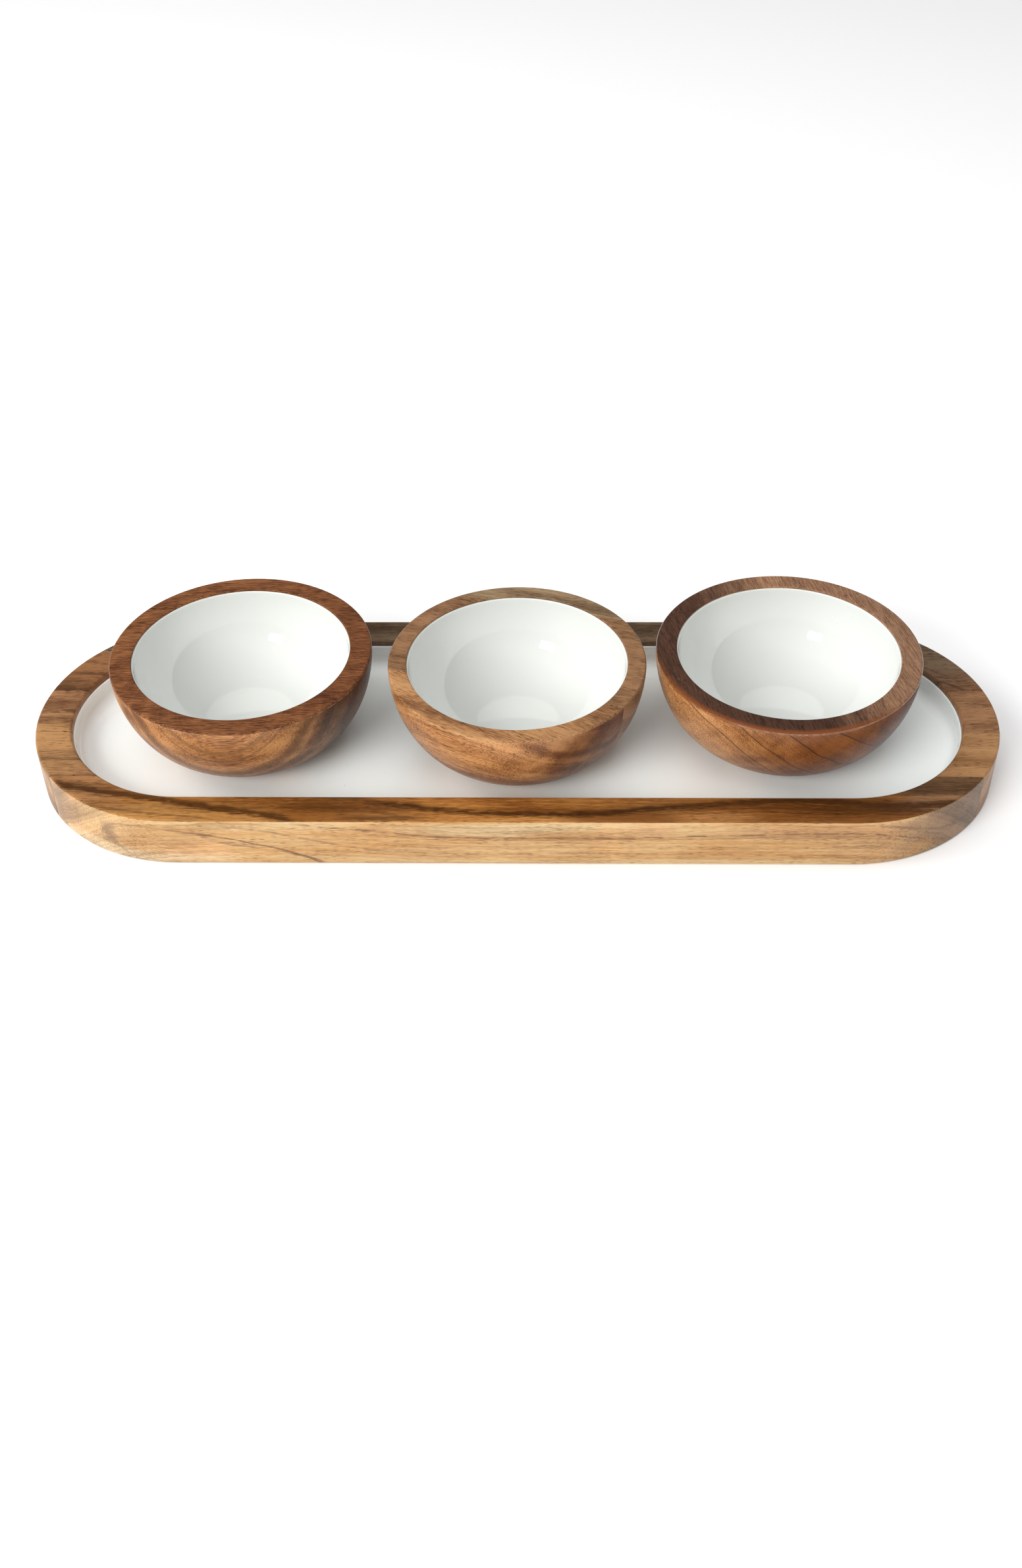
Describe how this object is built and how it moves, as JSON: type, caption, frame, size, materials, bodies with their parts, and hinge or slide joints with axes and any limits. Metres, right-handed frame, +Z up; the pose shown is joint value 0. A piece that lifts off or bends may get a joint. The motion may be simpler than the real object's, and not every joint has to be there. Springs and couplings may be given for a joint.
{
  "type": "chip and dip server",
  "caption": "Long wooden serving tray with round ends and a white enamelled well, holding loose wooden dip bowls enamelled white inside.",
  "frame": {"origin": "middle of the tray's underside, on the table", "axes": "+X along the tray to its right end, +Y to its far side, +Z up"},
  "size_m": [0.6, 0.2, 0.078],
  "materials": {
    "tray_wood": "satin lacquered acacia, sapwood to dark heartwood",
    "tray_enamel": "glossy white food-safe enamel coat",
    "bowl_wood": "gloss lacquered acacia, turned",
    "bowl_enamel": "glossy white food-safe enamel coat"
  },
  "bodies": {
    "tray": {"front_stave": "tray_wood", "inner_front_stave": "tray_wood", "centre_stave": "tray_wood", "inner_back_stave": "tray_wood", "back_stave": "tray_wood", "tray_enamel": "tray_enamel"},
    "left_bowl": {"left_bowl": "bowl_wood", "left_bowl_enamel": "bowl_enamel"},
    "middle_bowl": {"middle_bowl_front_block": "bowl_wood", "middle_bowl_centre_block": "bowl_wood", "middle_bowl_back_block": "bowl_wood", "middle_bowl_enamel": "bowl_enamel"},
    "right_bowl": {"right_bowl": "bowl_wood", "right_bowl_enamel": "bowl_enamel"}
  },
  "joints": [
    {"name": "left_bowl_lift", "type": "slide", "parent": "tray", "child": "left_bowl", "axis": [0, 0, 1], "range_m": [0, 0.12]},
    {"name": "middle_bowl_lift", "type": "slide", "parent": "tray", "child": "middle_bowl", "axis": [0, 0, 1], "range_m": [0, 0.12]},
    {"name": "right_bowl_lift", "type": "slide", "parent": "tray", "child": "right_bowl", "axis": [0, 0, 1], "range_m": [0, 0.12]}
  ]
}
